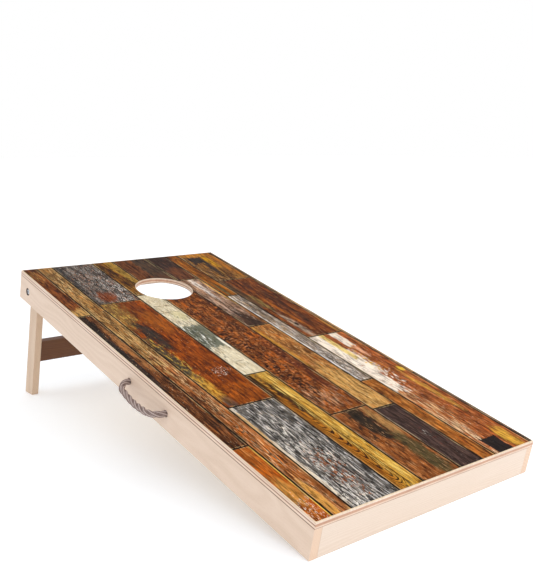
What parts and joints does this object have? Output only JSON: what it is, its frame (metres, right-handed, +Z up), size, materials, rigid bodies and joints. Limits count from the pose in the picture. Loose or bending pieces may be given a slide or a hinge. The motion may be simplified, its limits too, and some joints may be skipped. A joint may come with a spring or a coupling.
{
  "type": "cornhole board",
  "caption": "Lawn-game toss board: sloping plywood deck with a round bag hole and a printed plank wrap, on a rail frame with a folding leg frame and a rope side handle.",
  "frame": {"origin": "on the ground, under the middle of the board's own box, with the rope handle left out", "axes": "+X across the board to the right as seen by a thrower in front of it, +Y along the ground from the low front edge to the high rear edge, +Z up"},
  "size_m": [0.6468, 1.2416, 0.3493],
  "materials": {
    "printed_wrap": "satin printed wrap: worn mixed planks in rust, tan, grey, cream and charcoal, with thin dark joints",
    "plywood": "clear-coated birch plywood, light and darker plies showing at its edges",
    "side_rail_wood": "smooth clear-coated pale hardwood, grain along the rail",
    "end_rail_wood": "smooth clear-coated pale hardwood, grain along the rail",
    "leg_wood": "smooth clear-coated pale hardwood, grain along the leg",
    "inner_wood": "plain sawn softwood",
    "dowel_wood": "fluted beech dowel",
    "zinc_steel": "bright zinc-plated steel",
    "screw_steel": "yellow zinc-plated steel",
    "rope": "twisted three-strand rope, grey-brown, soft and slightly fuzzy"
  },
  "bodies": {
    "frame": {"brace_dowel_left": "dowel_wood", "brace_dowel_right": "dowel_wood", "centre_brace": "inner_wood", "corner_block_left": "inner_wood", "corner_block_right": "inner_wood", "corner_dowel_front_left_1": "dowel_wood", "corner_dowel_front_left_2": "dowel_wood", "corner_dowel_front_right_1": "dowel_wood", "corner_dowel_front_right_2": "dowel_wood", "corner_dowel_rear_left_1": "dowel_wood", "corner_dowel_rear_left_2": "dowel_wood", "corner_dowel_rear_right_1": "dowel_wood", "corner_dowel_rear_right_2": "dowel_wood", "deck_panel": "plywood", "deck_screw_01": "screw_steel", "deck_screw_02": "screw_steel", "deck_screw_03": "screw_steel", "deck_screw_04": "screw_steel", "deck_screw_05": "screw_steel", "deck_screw_06": "screw_steel", "deck_screw_07": "screw_steel", "deck_screw_08": "screw_steel", "deck_screw_09": "screw_steel", "deck_screw_10": "screw_steel", "deck_screw_11": "screw_steel", "deck_screw_12": "screw_steel", "deck_wrap": "printed_wrap", "front_rail": "end_rail_wood", "leg_stop_left": "inner_wood", "leg_stop_right": "inner_wood", "lock_nut_left": "zinc_steel", "lock_nut_right": "zinc_steel", "nut_washer_left": "zinc_steel", "nut_washer_right": "zinc_steel", "pivot_bolt_left": "zinc_steel", "pivot_bolt_right": "zinc_steel", "rear_rail": "end_rail_wood", "rope_knot_front": "rope", "rope_knot_rear": "rope", "side_rail_left": "side_rail_wood", "side_rail_right": "side_rail_wood", "spacer_washer_left": "zinc_steel", "spacer_washer_right": "zinc_steel"},
    "legs": {"leg_crossbar": "leg_wood", "leg_left": "leg_wood", "leg_right": "leg_wood", "crossbar_dowel_left_1": "dowel_wood", "crossbar_dowel_left_2": "dowel_wood", "crossbar_dowel_right_1": "dowel_wood", "crossbar_dowel_right_2": "dowel_wood"},
    "handle": {"rope_handle": "rope"}
  },
  "joints": [
    {"name": "leg_fold", "type": "hinge", "parent": "frame", "child": "legs", "pos_m": [0, 0.52988, 0.29628], "axis": [-1, 0, 0], "range_deg": [0, 90]},
    {"name": "handle_swing", "type": "hinge", "parent": "frame", "child": "handle", "pos_m": [-0.3123, -0.08214, 0.15683], "axis": [0, 0.9741, 0.2262], "range_deg": [-50, 90]}
  ]
}
